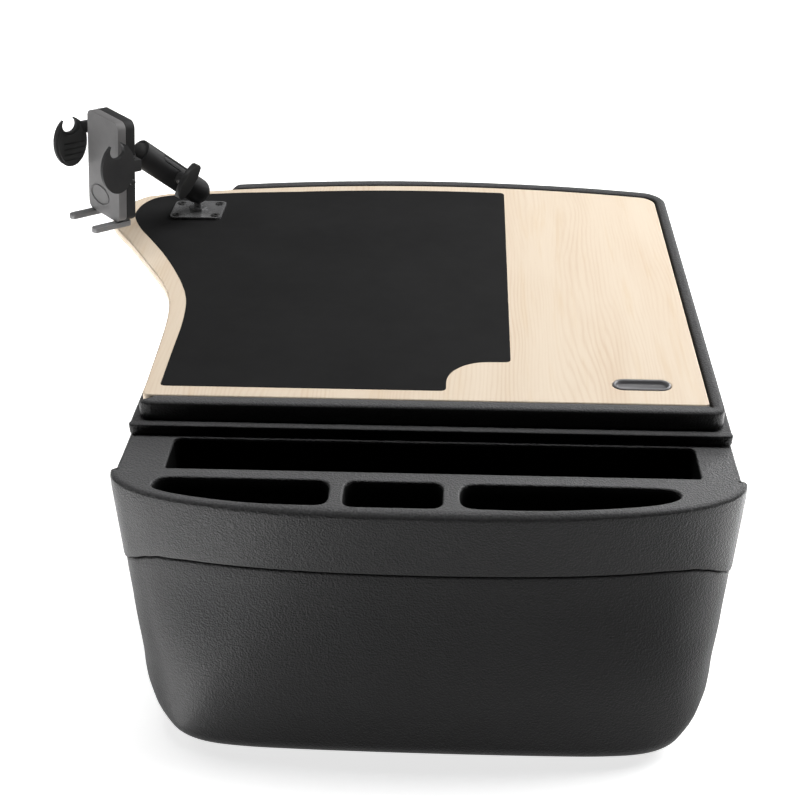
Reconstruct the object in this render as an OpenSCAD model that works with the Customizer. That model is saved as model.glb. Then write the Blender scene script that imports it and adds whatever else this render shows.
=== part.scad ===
// Mobile seat desk: storage base, hinged lid, slide-out desktop, ball-arm cradle.
// Millimetres, +Z up. Origin: centre of the base on the surface it stands on.

/* [Base] */
// Half the width of the storage base
half_w = 230; // [210:1:250]
// Height of the deck above the seat
deck_z = 225; // [190:1:260]
// Wall thickness of the moulded tub
wall = 4; // [3:0.5:6]
// Depth of the pen pockets below the deck
pocket_depth = 68; // [40:1:90]
// Clear width between the hanging-file lips
file_gap = 320; // [310:1:330]

/* [Lid] */
// Thickness of the hinged lid plate
lid_t = 7; // [5:0.5:9]
// Gap between the deck and the closed lid
lid_gap = 1; // [0.5:0.5:2]

/* [Desktop] */
// Thickness of the wooden board
board_t = 8; // [6:0.5:12]
// Height of the board top above the seat
board_z = 248; // [240:1:260]
// How far the tray rim stands above the board
rim_h = 2; // [1:0.5:4]

/* [Cradle arm] */
// Radius of both balls
ball_r = 8.3; // [7:0.1:9]
// Distance between the two ball centres
arm_len = 80; // [70:1:90]
// Rise of the arm above the horizontal
arm_rise = 41.5; // [35:0.5:50]
// Radius of the arm tube
arm_r = 12.6; // [12:0.1:14]

/* [Cradle] */
// Width of the cradle body
body_w = 52; // [48:1:60]
// Height of the cradle body
body_h = 97; // [90:1:110]
// Inner distance between the grip pads
grip = 72; // [64:1:80]

/* [Hidden] */
rear_y = 290;
arc_r = 1080;
arc_c = [-25, -777];
pad_z = 3;
tray_bot = deck_z + lid_gap + lid_t + 0.5;
tray_top = board_z - board_t;
lower_ball = [-241, 224, 270.7];
dir_h = cos(arm_rise) * sqrt(0.5);
upper_ball = lower_ball + arm_len * [-dir_h, -dir_h, sin(arm_rise)];
cover_in = ball_r + 0.3;
cover_out = ball_r + 1.6;
socket_r = cover_out + 0.3;
bolt_x = 36;

// ---------- outlines ----------
nose_pts = [[42, -283], [81, -282.5], [115, -279.5], [150, -275], [180, -268.5],
  [203, -259], [219, -248], [227, -238], [230, -226]];
function nose(d) = [for (p = nose_pts) [p[0] * (half_w - d) / 230, p[1] + d]];
function tail(d) = [for (a = [0 : 15 : 90])
  [half_w - 40 + (40 - d) * cos(a), rear_y - 40 + (40 - d) * sin(a)]];
function flip(v) = [for (i = [len(v) - 1 : -1 : 0]) [-v[i][0], v[i][1]]];
function half_plan(d) = concat(nose(d), tail(d));
module plan(d) polygon(concat(half_plan(d), flip(half_plan(d))));

// rounded rectangle from corner a to corner b
module rbox(a, b, r) {
  translate([a[0] + r, a[1]]) square([b[0] - a[0] - 2 * r, b[1] - a[1]]);
  translate([a[0], a[1] + r]) square([b[0] - a[0], b[1] - a[1] - 2 * r]);
  for (x = [a[0] + r, b[0] - r], y = [a[1] + r, b[1] - r])
    translate([x, y]) circle(r = r, $fn = 64);
}
module slab(z0, z1) translate([0, 0, z0]) linear_extrude(z1 - z0) children();
module rod(r, h) cylinder(r = r, h = h, $fn = 64);

// front-view and side-view profiles of the tub, grown inwards by d
function arc_pts(c, r, a0, a1, n) =
  [for (i = [0 : n]) c + r * [cos(a0 + (a1 - a0) * i / n), sin(a0 + (a1 - a0) * i / n)]];
function front_half(d) = concat(
  [[half_w + 0.5 - d, deck_z + 5], [half_w - 1 - d, 150], [half_w - 3 - d, 110]],
  arc_pts([half_w - 70, 66], 63 - d, 0, -90, 10));
module front_profile(d) polygon(concat(front_half(d), flip(front_half(d))));
module side_profile(d) polygon(concat(
  [[rear_y - d, deck_z + 5], [rear_y - 8 - d, 60]],
  arc_pts([rear_y - 34, 29], 26 - d, 0, -90, 5),
  arc_pts([-263, 23], 20 - d, -90, -180, 5),
  [[-284 + d, deck_z + 5]]));
module tub_solid(d, ztop) intersection() {
  slab(0, ztop) plan(d);
  translate([0, 400, 0]) rotate([90, 0, 0]) linear_extrude(800) front_profile(d);
  rotate([90, 0, 90]) translate([0, 0, -300]) linear_extrude(600) side_profile(d);
}

// ---------- base ----------
module base_tub() color([0.09, 0.09, 0.095]) difference() {
  tub_solid(0, deck_z - 3);
  difference() {
    tub_solid(wall, deck_z + 4);
    for (x = [-1, 1], y = [-205, 262]) translate([0, y, 190]) {
      translate([x * 208, 0, 0]) rod(6, 50);
      translate([x > 0 ? 208 : -232, -3, 0]) cube([24, 6, 50]);
    }
  }
  for (x = [-1, 1], y = [-205, 262])
    translate([x * 208, y, 203]) rod(1.6, 40);
  for (x = [-155, -105, 105, 155]) translate([x, 270, 205]) rotate([-90, 0, 0]) rod(1.6, 40);
}
module base_pad() color([0.05, 0.05, 0.05]) slab(0, pad_z) difference() {
  rbox([-150, -235], [150, 245], 24);
  for (y = [-160 : 80 : 160]) rbox([-120, y - 3], [120, y + 3], 2.5);
}
module pocket_end(cx, cy, rr, x0, x1, d) intersection() {
  rbox([x0 - d, -266.5 - d], [x1 + d, -230 + d], 7 + d);
  translate([cx, cy]) circle(r = rr + d, $fn = 180);
}
module pocket_left(d) {
  pocket_end(-105, -103.5, 163, -202, -69, d);
  rbox([-112, -266.5 - d], [-69 + d, -230 + d], 7 + d);
}
module pocket_right(d) {
  pocket_end(95, -103.5, 163, 24, 187, d);
  rbox([24 - d, -266.5 - d], [102, -230 + d], 7 + d);
}
module pocket_mid(d) rbox([-60 - d, -266.5 - d], [14 + d, -231 + d], 8 + d);
skirt_pts = [[0, 177.5], [100, 178], [170, 178], [196, 175.5], [208, 170.5], [218, 163],
  [228, 154], [240, 151.5], [240, deck_z + 9]];
module skirt_profile() polygon(concat(skirt_pts,
  [for (i = [len(skirt_pts) - 1 : -1 : 1]) [-skirt_pts[i][0], skirt_pts[i][1]]]));
module deck_collar() color([0.1, 0.1, 0.105]) difference() {
  intersection() {
    slab(140, deck_z - 4) difference() { plan(-3); plan(0); }
    translate([0, 400, 0]) rotate([90, 0, 0]) linear_extrude(800) skirt_profile();
  }
  for (x = [-155, -105, 105, 155]) translate([x, 280, 205]) rotate([-90, 0, 0]) rod(1.6, 20);
}
module deck_body() difference() {
  union() {
    slab(deck_z - 4, deck_z - 3) difference() { plan(-2.2); plan(0); }
    slab(deck_z - 3, deck_z) plan(-1.2);
    slab(deck_z, deck_z + 2) intersection() {
      plan(0.8);
      translate([-300, -400]) square([600, 178]);
    }
  }
  slab(deck_z - 3.5, deck_z + 3) {
    pocket_left(0);
    pocket_mid(0);
    pocket_right(0);
    rbox([-194.5, -220], [201.5, -176], 14);
    rbox([-175, -150], [175, 245], 20);
  }
  for (x = [-1, 1], y = [-205, 262]) translate([x * 208, y, deck_z - 4]) {
    rod(1.7, 8);
    translate([0, 0, 2.4]) rod(3.6, 8);
  }
}
module pen_lip() color([0.1, 0.1, 0.105]) intersection() {
  deck_body();
  translate([-300, -400, 200]) cube([600, 178, 60]);
}
module top_deck() color([0.1, 0.1, 0.105]) intersection() {
  deck_body();
  translate([-300, -222, 200]) cube([600, 600, 60]);
}
module cup(d0, z1) {
  difference() {
    slab(deck_z - 3 - pocket_depth, deck_z - 3) children(0);
    slab(deck_z - 1 - pocket_depth, deck_z) children(1);
  }
}
module pen_cup_left() color([0.07, 0.07, 0.07]) cup() { pocket_left(2); pocket_left(0); }
module pen_cup_centre() color([0.07, 0.07, 0.07]) cup() { pocket_mid(2); pocket_mid(0); }
module pen_cup_right() color([0.07, 0.07, 0.07]) cup() { pocket_right(2); pocket_right(0); }
module divider_panel() color([0.08, 0.08, 0.08]) intersection() {
  tub_solid(wall, deck_z - 3);
  difference() {
    translate([-300, -163, 0]) cube([600, 3, 300]);
    translate([0, -150, 182]) rotate([90, 0, 0]) slab(0, 20) rbox([-40, -9], [40, 9], 8.5);
  }
}
module file_rail(s) {
  w = file_gap / 2;
  for (b = [[w, w + 2, 206, 214], [w, w + 17, 204, 206], [w + 15, w + 17, 204, 222],
    [w + 15, w + 32, 220, 222]])
    translate([s > 0 ? b[0] : -b[1], -120, b[2]]) cube([b[1] - b[0], 340, b[3] - b[2]]);
}
module file_rail_left() color([0.6, 0.6, 0.62]) file_rail(-1);
module file_rail_right() color([0.6, 0.6, 0.62]) file_rail(1);
module deck_screws() color([0.3, 0.3, 0.3]) for (x = [-1, 1], y = [-205, 262])
  translate([x * 208, y, 0]) {
    translate([0, 0, 206]) rod(1.6, deck_z - 1.6 - 206);
    translate([0, 0, deck_z - 1.6]) difference() {
      rod(3.6, 1.5);
      translate([-2.4, -0.4, 0.7]) cube([4.8, 0.8, 1]);
    }
  }

// ---------- lid ----------
hx = 130;
hy = rear_y + 7.5;
hz = deck_z + 4;
module knuckle(x0, x1, r_in) translate([x0, hy, hz]) rotate([0, 90, 0]) difference() {
  rod(4, x1 - x0);
  translate([0, 0, -1]) rod(r_in, x1 - x0 + 2);
}
module leaf_fixed(cx) {
  for (s = [[-30, -10.2], [10.2, 30]]) {
    knuckle(cx + s[0], cx + s[1], 1.8);
    difference() {
      translate([cx + s[0], rear_y + 3, hz - 4.4]) cube([s[1] - s[0], 2.4, 4.4]);
      translate([cx - 40, hy, hz]) rotate([0, 90, 0]) rod(3, 80);
    }
  }
  difference() {
    translate([cx - 30, rear_y + 3, 196]) cube([60, 2.4, hz - 4.4 - 196]);
    for (x = [-25, 25]) translate([cx + x, rear_y, 205]) rotate([-90, 0, 0]) rod(1.6, 20);
  }
}
module hinge_left_fixed() color([0.35, 0.35, 0.36]) leaf_fixed(-hx);
module hinge_right_fixed() color([0.35, 0.35, 0.36]) leaf_fixed(hx);
module pin(cx) translate([cx - 31, hy, hz]) rotate([0, 90, 0]) rod(1.8, 62);
module hinge_left_pin() color([0.5, 0.5, 0.5]) pin(-hx);
module hinge_right_pin() color([0.5, 0.5, 0.5]) pin(hx);
module hinge_screws() color([0.4, 0.4, 0.4]) for (x = [-155, -105, 105, 155])
  translate([x, rear_y - 3, 205]) rotate([-90, 0, 0]) {
    rod(1.6, 8.4);
    translate([0, 0, 8.4]) rod(3, 1.4);
  }
lid0 = deck_z + lid_gap;
lid1 = lid0 + lid_t;
module leaf_outline(cx) translate([cx - 30, 252]) square([60, 40.6]);
module leaf_moving(cx) difference() {
  union() {
    slab(lid1 - 2, lid1) leaf_outline(cx);
    difference() {
      translate([cx - 9.8, 290, lid1 - 2]) cube([19.6, hy - 290, 2]);
      translate([cx - 40, hy, hz]) rotate([0, 90, 0]) rod(3, 80);
    }
    knuckle(cx - 9.8, cx + 9.8, 1.86);
  }
  for (x = [-20, 20]) translate([cx + x, 268, lid1 - 3]) {
    rod(1.6, 5);
    translate([0, 0, 2]) rod(3, 5);
  }
}
module hinge_left_moving() color([0.35, 0.35, 0.36]) leaf_moving(-hx);
module hinge_right_moving() color([0.35, 0.35, 0.36]) leaf_moving(hx);
module lid_screws() color([0.4, 0.4, 0.4]) for (x = [-150, -110, 110, 150])
  translate([x, 268, lid1 - 6]) {
    rod(1.6, 5);
    translate([0, 0, 5]) rod(3, 0.9);
  }
rail_y = [-100, 200];
module slot2d(x0, x1, y, w) rbox([x0, y - w / 2], [x1, y + w / 2], w / 2 - 0.01);
module lid_plate() color([0.11, 0.11, 0.115]) difference() {
  slab(lid0, lid1) difference() {
    rbox([-half_w - 0.5, -174], [half_w + 0.5, 288], 22);
    for (y = rail_y) slot2d(-151, 171, y, 14);
  }
  slab(lid1 - 2, lid1 + 1) for (s = [-1, 1]) leaf_outline(s * hx);
  for (x = [-150, -110, 110, 150]) translate([x, 268, lid1 - 6]) rod(1.6, 10);
}
module slide_rail(y) slab(lid0, lid1) difference() {
  slot2d(-151, 171, y, 14);
  slot2d(-146, 166, y, 9);
}
module slide_rail_front() color([0.7, 0.7, 0.7]) slide_rail(rail_y[0]);
module slide_rail_rear() color([0.7, 0.7, 0.7]) slide_rail(rail_y[1]);
module lid_bumpers() color([0.05, 0.05, 0.05]) for (x = [-205, 205], y = [-160, 235])
  translate([x, y, deck_z + 0.35]) rod(6, lid_gap - 0.35);

// ---------- desktop ----------
// region bounded by a right edge at x = xr, a rear arc of radius rr and a corner radius r
module back_arc(rr, xr, r) {
  cx = xr - r;
  cy = arc_c[1] + sqrt(pow(rr - r, 2) - pow(cx - arc_c[0], 2));
  u = [cx - arc_c[0], cy - arc_c[1]] / (rr - r);
  difference() {
    intersection() {
      translate(arc_c) circle(r = rr, $fn = 360);
      translate([-400, -400]) square([400 + xr, 900]);
    }
    polygon([[cx, cy], [cx + 200, cy], [cx + 200, cy + 200], [cx + 200 * u[0], cy + 200 * u[1]]]);
  }
  translate([cx, cy]) circle(r = r, $fn = 72);
}
// the same outline drawn with points, with front corners: left xl, right xr, front yf
function corner_y(rr, xr, r) = arc_c[1] + sqrt(pow(rr - r, 2) - pow(xr - r - arc_c[0], 2));
module tray2d(rr, xl, xr, yf, r, rf) {
  cy = corner_y(rr, xr, r);
  au = atan2(cy - arc_c[1], xr - r - arc_c[0]);
  al = acos((xl - arc_c[0]) / rr);
  polygon(concat(arc_pts([xl + rf, yf + rf], rf, 180, 270, 6),
    arc_pts([xr - rf, yf + rf], rf, 270, 360, 6),
    arc_pts([xr - r, cy], r, 0, au, 8),
    [for (i = [1 : 18]) arc_c + rr * [cos(au + (al - au) * i / 18), sin(au + (al - au) * i / 18)]]));
}
module recess_shape() tray2d(arc_r + 0.9, -400, 215.4, -150.9, 19, 5);
function cr(a, b, c, d, t) = 0.5 * (2 * b + (c - a) * t + (2 * a - 5 * b + 4 * c - d) * t * t
  + (3 * b - a - 3 * c + d) * t * t * t);
function smooth(p, n) = [for (i = [1 : len(p) - 3], k = [0 : n - 1])
  cr(p[i - 1], p[i], p[i + 1], p[i + 2], k / n)];
wing_pts = [[-250, 300], [-284, 271], [-299, 265], [-309, 253], [-318, 236], [-323, 214],
  [-320, 193], [-309, 171], [-295, 148], [-279, 119], [-261, 85], [-247, 58], [-237, 33],
  [-231.5, 10], [-228, -20], [-226, -60], [-224.5, -105], [-223.5, -150], [-223, -190]];
module board_outline(d) intersection() {
  back_arc(arc_r - d, 214.5 - d, 18 - d);
  rbox([-400, -150 + d], [260, 400], 4);
  polygon(concat(smooth(wing_pts, 3), [[-223.5, -150], [-200, -170], [300, -170], [300, 400],
    [-200, 400]]));
}
mat_pts = [[-150, 283], [-202, 277.5], [-232, 273.5], [-262, 270], [-278, 266], [-291, 259],
  [-299.5, 245], [-303, 228], [-302, 209], [-290, 179], [-274, 151], [-257, 120], [-241, 86],
  [-228, 54], [-220, 28], [-216, 4], [-213.5, -30], [-213, -70], [-212, -126], [-212, -150]];
module mat_outline() difference() {
  intersection() {
    translate([-25, -777]) circle(r = 1066, $fn = 360);
    rbox([-400, -132], [63, 400], 3);
    polygon(concat(smooth(mat_pts, 3), [[-212, -126], [-209, -132], [-150, -140], [70, -140],
      [70, 286], [-100, 300]]));
  }
  translate([66, -134]) circle(r = 49, $fn = 96);
}
module screw_spots() for (x = [-200, -20, 190], y = [-110, 60, 230])
  if (!(x == 190 && y == -110)) translate([x, y]) children();
module desktop_tray() color([0.1, 0.1, 0.105]) difference() {
  union() {
    slab(tray_bot, board_z + rim_h - 1.5) tray2d(arc_r + 11, -227, 225, -165, 28, 17);
    slab(board_z + rim_h - 1.5, board_z + rim_h)
      tray2d(arc_r + 9.5, -225.5, 223.5, -163.5, 26.5, 15.5);
  }
  slab(tray_top, board_z + rim_h + 1) recess_shape();
  translate([0, 0, tray_bot - 1]) screw_spots() {
    rod(1.8, 20);
    rod(3.9, 4);
  }
  for (y = rail_y, x = [25, 145]) translate([x, y, tray_bot - 1]) rod(1.5, 5.4);
}
module runner(y) difference() {
  union() {
    translate([10, y - 4, 221.5]) cube([150, 8, tray_bot - 221.5]);
    translate([10, y - 10, 221.5]) cube([150, 20, lid0 - 0.5 - 221.5]);
  }
  for (x = [25, 145]) translate([x, y, 221]) {
    rod(1.5, 20);
    rod(3, 2.5);
  }
}
module slide_runner_front() color([0.85, 0.85, 0.83]) runner(rail_y[0]);
module slide_runner_rear() color([0.85, 0.85, 0.83]) runner(rail_y[1]);
module runner_screws() color([0.5, 0.5, 0.5]) for (y = rail_y, x = [25, 145])
  translate([x, y, 222]) {
    translate([0, 0, 1.5]) rod(1.5, tray_bot + 4.2 - 223.5);
    rod(2.9, 1.5);
  }
module board_screws() color([0.5, 0.5, 0.5]) translate([0, 0, tray_bot + 0.4]) screw_spots() {
  rod(3.7, 2);
  rod(1.8, 11);
}
module desktop_board() color([0.86, 0.72, 0.52]) difference() {
  slab(tray_top, board_z) board_outline(0);
  slab(board_z - 2, board_z + 1) mat_outline();
  slab(board_z - 6.5, board_z + 1) cup2d(23);
  translate([0, 0, tray_top - 1]) screw_spots() rod(1.8, 5.9);
  mount_spots() translate([0, 0, board_z - 6.5]) rod(2.3, 10);
}
module cup2d(l) {
  r = l - 12.5;
  rbox([165.5 - l, -119.5 - r], [165.5 + l, -119.5 + r], r - 0.01);
}
module finger_cup() color([0.3, 0.3, 0.31]) difference() {
  slab(board_z - 6.5, board_z + 0.5) cup2d(23);
  slab(board_z - 5, board_z + 1) rbox([146, -127], [185, -113.5], 6.5);
}
module writing_mat() color([0.04, 0.04, 0.045]) difference() {
  slab(board_z - 2, board_z + 0.5) mat_outline();
  mount_spots() translate([0, 0, board_z - 3]) rod(2.3, 10);
}
plate0 = board_z + 0.5;
module mount_spots() for (x = [-19.05, 19.05], y = [-15.1, 15.1])
  translate([lower_ball[0] + x, lower_ball[1] + y]) children();
module mount_plate() color([0.06, 0.06, 0.065]) {
  difference() {
    slab(plate0, plate0 + 2.5) translate([lower_ball[0], lower_ball[1]])
      rbox([-25.5, -22], [25.5, 22], 6);
    mount_spots() translate([0, 0, plate0 - 1]) rod(2.3, 10);
    mount_spots() translate([0, 0, plate0 + 1.2]) rod(4.4, 10);
  }
  translate([lower_ball[0], lower_ball[1], plate0 + 2.5]) {
    cylinder(r = 9.2, h = 3.2, $fn = 6);
    rod(4, lower_ball[2] - plate0 - 5);
  }
  translate(lower_ball) sphere(r = ball_r, $fn = 96);
}
module mount_screws() color([0.2, 0.2, 0.2]) mount_spots() difference() {
  union() {
    translate([0, 0, board_z - 6.5]) rod(2.3, plate0 + 1.2 - board_z + 6.5);
    translate([0, 0, plate0 + 1.2]) rod(4.2, 1.9);
  }
  translate([0, 0, plate0 + 2]) cylinder(r = 2, h = 3, $fn = 6);
}

// ---------- ball arm ----------
module at_arm() translate(lower_ball) rotate([0, 0, 225]) rotate([0, -arm_rise, 0]) children();
module at_cradle() translate(upper_ball) rotate([0, 0, -45]) rotate([-3.6, 0, 0])
  rotate([0, 3.1, 0]) children();
// shell around a ball, open towards +Z for the neck and cut off below
module ball_cover() rotate_extrude($fn = 96) intersection() {
  difference() {
    circle(r = cover_out, $fn = 96);
    circle(r = cover_in, $fn = 96);
  }
  translate([4.5, -4]) square([20, 24]);
}
module lower_ball_cover() color([0.04, 0.04, 0.04]) translate(lower_ball)
  rotate([180, 0, 0]) ball_cover();
module upper_ball_cover() color([0.04, 0.04, 0.04]) at_cradle()
  rotate([90, 0, 0]) ball_cover();
module wedge(a0, a1) rotate([90, 0, 0]) translate([0, 0, -5]) linear_extrude(10)
  polygon([[0, 0], 24 * [cos(a0), sin(a0)], 24 * [cos((a0 + a1) / 2), sin((a0 + a1) / 2)],
    24 * [cos(a1), sin(a1)]]);
module arm_turned() rotate([0, 90, 0]) rotate_extrude($fn = 96) intersection() {
  difference() {
    union() {
      circle(r = arm_r, $fn = 96);
      square([arm_r, arm_len + 3]);
    }
    circle(r = socket_r, $fn = 96);
    translate([0, arm_len]) circle(r = socket_r, $fn = 96);
    translate([0, arm_len - 0.5]) square([socket_r - 0.4, 10]);
    translate([0, 14]) square([9.6, arm_len - 28]);
  }
  translate([0, -20]) square([20, arm_len + 40]);
}
module arm_solid() difference() {
  union() {
    rotate([180, 0, 0]) arm_turned();
    translate([bolt_x, 0, 0]) rotate([90, 0, 0]) translate([0, 0, 8]) rod(6.6, 5.4);
    translate([bolt_x, 0, 0]) rotate([90, 0, 0]) translate([0, 0, -13.4]) rod(6.6, 5.4);
  }
  wedge(-96, -196);
  translate([arm_len, 0, 0]) wedge(-108, 20);
  translate([bolt_x, 0, 0]) rotate([90, 0, 0]) translate([0, 0, -20]) rod(3, 40);
}
module arm_shell_near() color([0.1, 0.1, 0.105]) at_arm() intersection() {
  arm_solid();
  translate([-40, 0.4, -40]) cube([200, 60, 80]);
}
module arm_shell_far() color([0.1, 0.1, 0.105]) at_arm() intersection() {
  arm_solid();
  translate([-40, -60.4, -40]) cube([200, 60, 80]);
}
module clamp_bolt() color([0.5, 0.5, 0.52]) at_arm() translate([bolt_x, 0, 0])
  rotate([-90, 0, 0]) {
    translate([0, 0, -16.4]) cylinder(r = 5.4, h = 3, $fn = 6);
    translate([0, 0, -13.4]) rod(3, 38);
  }
module wing_knob() color([0.07, 0.07, 0.07]) at_arm() translate([bolt_x, 0, 0])
  rotate([-90, 0, 0]) difference() {
    union() {
      translate([0, 0, 13.8]) rod(6.4, 11);
      translate([0, 0, 22]) linear_extrude(7) polygon([[-6, -7], [-3.4, -17], [-1.5, -18.5],
        [1.5, -18.5], [3.4, -17], [6, -7], [6, 7], [3.4, 17], [1.5, 18.5], [-1.5, 18.5],
        [-3.4, 17], [-6, 7]]);
    }
    translate([0, 0, 13]) rod(3.05, 12);
  }

// ---------- cradle (local: X across, -Y to the front, Z up, ball at the origin) ----------
cz = -5;
back_y = -24;
part_y = -33;
face_y = -42;
bw = body_w / 2;
module body2d(d) rbox([-bw + d, cz - body_h / 2 + d], [bw - d, cz + body_h / 2 - d], 7 - d);
module yslab(y_near, y_far) translate([0, y_near, 0]) rotate([90, 0, 0])
  linear_extrude(y_near - y_far) children();
module ball_stud() color([0.06, 0.06, 0.065]) at_cradle() {
  sphere(r = ball_r, $fn = 96);
  rotate([90, 0, 0]) translate([0, 0, 6]) rod(4, 16);
  rotate([90, 0, 0]) translate([0, 0, 20]) rod(14, 4);
}
bar_l = [cz + 20, cz + 31];
bar_r = [cz + 7, cz + 18];
leg_x = 19.5;
module body_cuts() {
  translate([-bw - 5, -32.2, bar_l[0] - 0.6]) cube([15, 5.4, bar_l[1] - bar_l[0] + 1.2]);
  translate([bw - 10, -32.2, bar_r[0] - 0.6]) cube([15, 5.4, bar_r[1] - bar_r[0] + 1.2]);
  for (s = [-1, 1]) translate([s > 0 ? leg_x - 13 : -leg_x - 3, -36, cz - body_h / 2 - 5])
    cube([16, 6, 12]);
}
module cradle_back_shell() color([0.09, 0.09, 0.095]) at_cradle() difference() {
  yslab(back_y, part_y) body2d(0);
  yslab(back_y - 2.4, part_y - 1) body2d(2.4);
  body_cuts();
  translate([bw - 8, -28.6, cz - 9]) rotate([0, 90, 0]) rod(3.4, 20);
}
module post_spots() for (x = [-20, 20], z = [cz - 38, cz + 40]) translate([x, 0, z]) children();
module cradle_front_cover() color([0.16, 0.16, 0.165]) at_cradle() difference() {
  union() {
    difference() {
      yslab(part_y, face_y) body2d(0);
      yslab(part_y + 1, face_y + 2.4) body2d(2.4);
    }
    post_spots() translate([0, -27, 0]) rotate([90, 0, 0]) rod(3, 13);
  }
  body_cuts();
  post_spots() translate([0, -20, 0]) rotate([90, 0, 0]) rod(1.2, 18);
}
module cradle_screws() color([0.5, 0.5, 0.5]) at_cradle() post_spots()
  translate([0, -26.6, 0]) rotate([90, 0, 0]) {
    translate([0, 0, 0.4]) rod(1.2, 9);
    rod(2.4, 0.4);
  }
function ell(cy, ccz, a, b, n) = [for (i = [0 : n - 1])
  [cy + a * cos(360 * i / n), ccz + b * sin(360 * i / n)]];
claw_c = [face_y - 10, cz + 13.5];
// side view of a claw, drawn in Y-Z
module claw2d(d) difference() {
  polygon(ell(claw_c[0], claw_c[1], 17 - d, 24 - d, 40));
  translate([claw_c[0] - 1.5, claw_c[1] + 17]) circle(r = 7.5 + d, $fn = 48);
  translate([claw_c[0] - 7 - d, claw_c[1] + 17]) square([11 + 2 * d, 20]);
}
module xslab(x0, x1) translate([x0, 0, 0]) rotate([90, 0, 90]) linear_extrude(x1 - x0) children();
g = grip / 2;
module claw(s, bar) {
  x0 = s > 0 ? g + 2.5 : -g - 6.5;
  xslab(x0, x0 + 4) claw2d(0);
  translate([x0, -41, bar[0]]) cube([4, 9.6, bar[1] - bar[0]]);
  translate([s > 0 ? 2 : -g - 6.5, -31.6, bar[0]]) cube([g + 4.5, 3.6, bar[1] - bar[0]]);
}
module pad(s, bar) {
  difference() {
    xslab(s > 0 ? g : -g - 2.5, s > 0 ? g + 2.5 : -g) difference() {
      claw2d(2.5);
      translate([-32.4, -100]) square([40, 200]);
    }
    for (z = [claw_c[1] - 17 : 5.5 : claw_c[1] + 4]) translate([s > 0 ? g - 0.5 : -g - 0.5, -61, z])
      cube([1, 24, 1.6]);
  }
}
module jaw_left_claw() color([0.08, 0.08, 0.085]) at_cradle() claw(-1, bar_l);
module jaw_right_claw() color([0.08, 0.08, 0.085]) at_cradle() claw(1, bar_r);
module jaw_left_pad() color([0.03, 0.03, 0.03]) at_cradle() pad(-1, bar_l);
module jaw_right_pad() color([0.03, 0.03, 0.03]) at_cradle() pad(1, bar_r);
module release_button() color([0.12, 0.12, 0.12]) at_cradle()
  translate([bw - 5.4, -28.6, cz - 9]) rotate([0, 90, 0]) {
    rod(3, 9);
  }
module leg(x) {
  z = cz - body_h / 2;
  slab(z - 5.6, z - 0.6) {
    rbox([x - 4, face_y - 25], [x + 4, -26], 3.9);
  }
  translate([x - 2, -35.2, z - 1]) cube([4, 4.4, 5]);
}
module leg_left() color([0.1, 0.1, 0.105]) at_cradle() leg(-leg_x);
module leg_right() color([0.1, 0.1, 0.105]) at_cradle() leg(leg_x);

base_tub();
base_pad();
deck_collar();
pen_lip();
top_deck();
pen_cup_left();
pen_cup_centre();
pen_cup_right();
divider_panel();
file_rail_left();
file_rail_right();
deck_screws();
hinge_left_fixed();
hinge_right_fixed();
hinge_left_pin();
hinge_right_pin();
hinge_screws();
lid_plate();
hinge_left_moving();
hinge_right_moving();
lid_screws();
slide_rail_front();
slide_rail_rear();
lid_bumpers();
desktop_tray();
slide_runner_front();
slide_runner_rear();
runner_screws();
board_screws();
desktop_board();
writing_mat();
finger_cup();
mount_plate();
mount_screws();
lower_ball_cover();
arm_shell_near();
arm_shell_far();
clamp_bolt();
wing_knob();
upper_ball_cover();
ball_stud();
cradle_back_shell();
cradle_front_cover();
cradle_screws();
jaw_left_claw();
jaw_left_pad();
jaw_right_claw();
jaw_right_pad();
release_button();
leg_left();
leg_right();
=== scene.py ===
import bpy
import bmesh
import math
from mathutils import Matrix, Vector
from mathutils.geometry import tessellate_polygon


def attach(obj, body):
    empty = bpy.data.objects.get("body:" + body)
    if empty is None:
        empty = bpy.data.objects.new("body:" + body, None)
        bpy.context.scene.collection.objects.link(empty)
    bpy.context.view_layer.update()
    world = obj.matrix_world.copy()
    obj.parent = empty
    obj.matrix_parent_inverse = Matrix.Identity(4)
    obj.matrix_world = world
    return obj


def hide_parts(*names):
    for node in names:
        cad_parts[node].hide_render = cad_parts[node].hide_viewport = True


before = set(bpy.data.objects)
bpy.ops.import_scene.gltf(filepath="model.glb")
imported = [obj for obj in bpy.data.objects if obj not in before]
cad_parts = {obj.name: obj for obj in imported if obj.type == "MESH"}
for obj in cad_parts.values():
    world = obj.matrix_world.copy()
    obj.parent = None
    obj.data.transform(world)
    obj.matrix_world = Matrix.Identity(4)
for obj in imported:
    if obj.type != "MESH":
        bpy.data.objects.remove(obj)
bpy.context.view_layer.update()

MM = 0.001
scene = bpy.context.scene
coll = scene.collection

# ------------------------------------------------------------------ key sizes, mm
HALF_W = 230.0             # half the base's width
DECK_Z = 225.0             # top of the deck
LIP_Z = 227.0              # top of the front lip
LIP_BACK = -225.4          # where the lip steps down to the deck
BOARD_Z = 248.0            # top of the wooden board
ARC_C = (-25.0, -777.0)    # centre and radius of the bowed rear edge
ARC_R = 1080.0
WELD = 0.004               # points closer than this become one


# ------------------------------------------------------------------ small maths
def lerp(a, b, t):
    return a + (b - a) * t


def clamp(v, lo=0.0, hi=1.0):
    return max(lo, min(hi, v))


def smooth01(v):
    v = clamp(v)
    return v * v * (3 - 2 * v)


def table(pts, x):
    """Look x up in a table, with half-smoothed steps between its rows."""
    if x <= pts[0][0]:
        return pts[0][1]
    for (x0, y0), (x1, y1) in zip(pts, pts[1:]):
        if x <= x1:
            t = (x - x0) / (x1 - x0)
            return lerp(y0, y1, smooth01(t) * 0.5 + 0.5 * t)
    return pts[-1][1]


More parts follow.
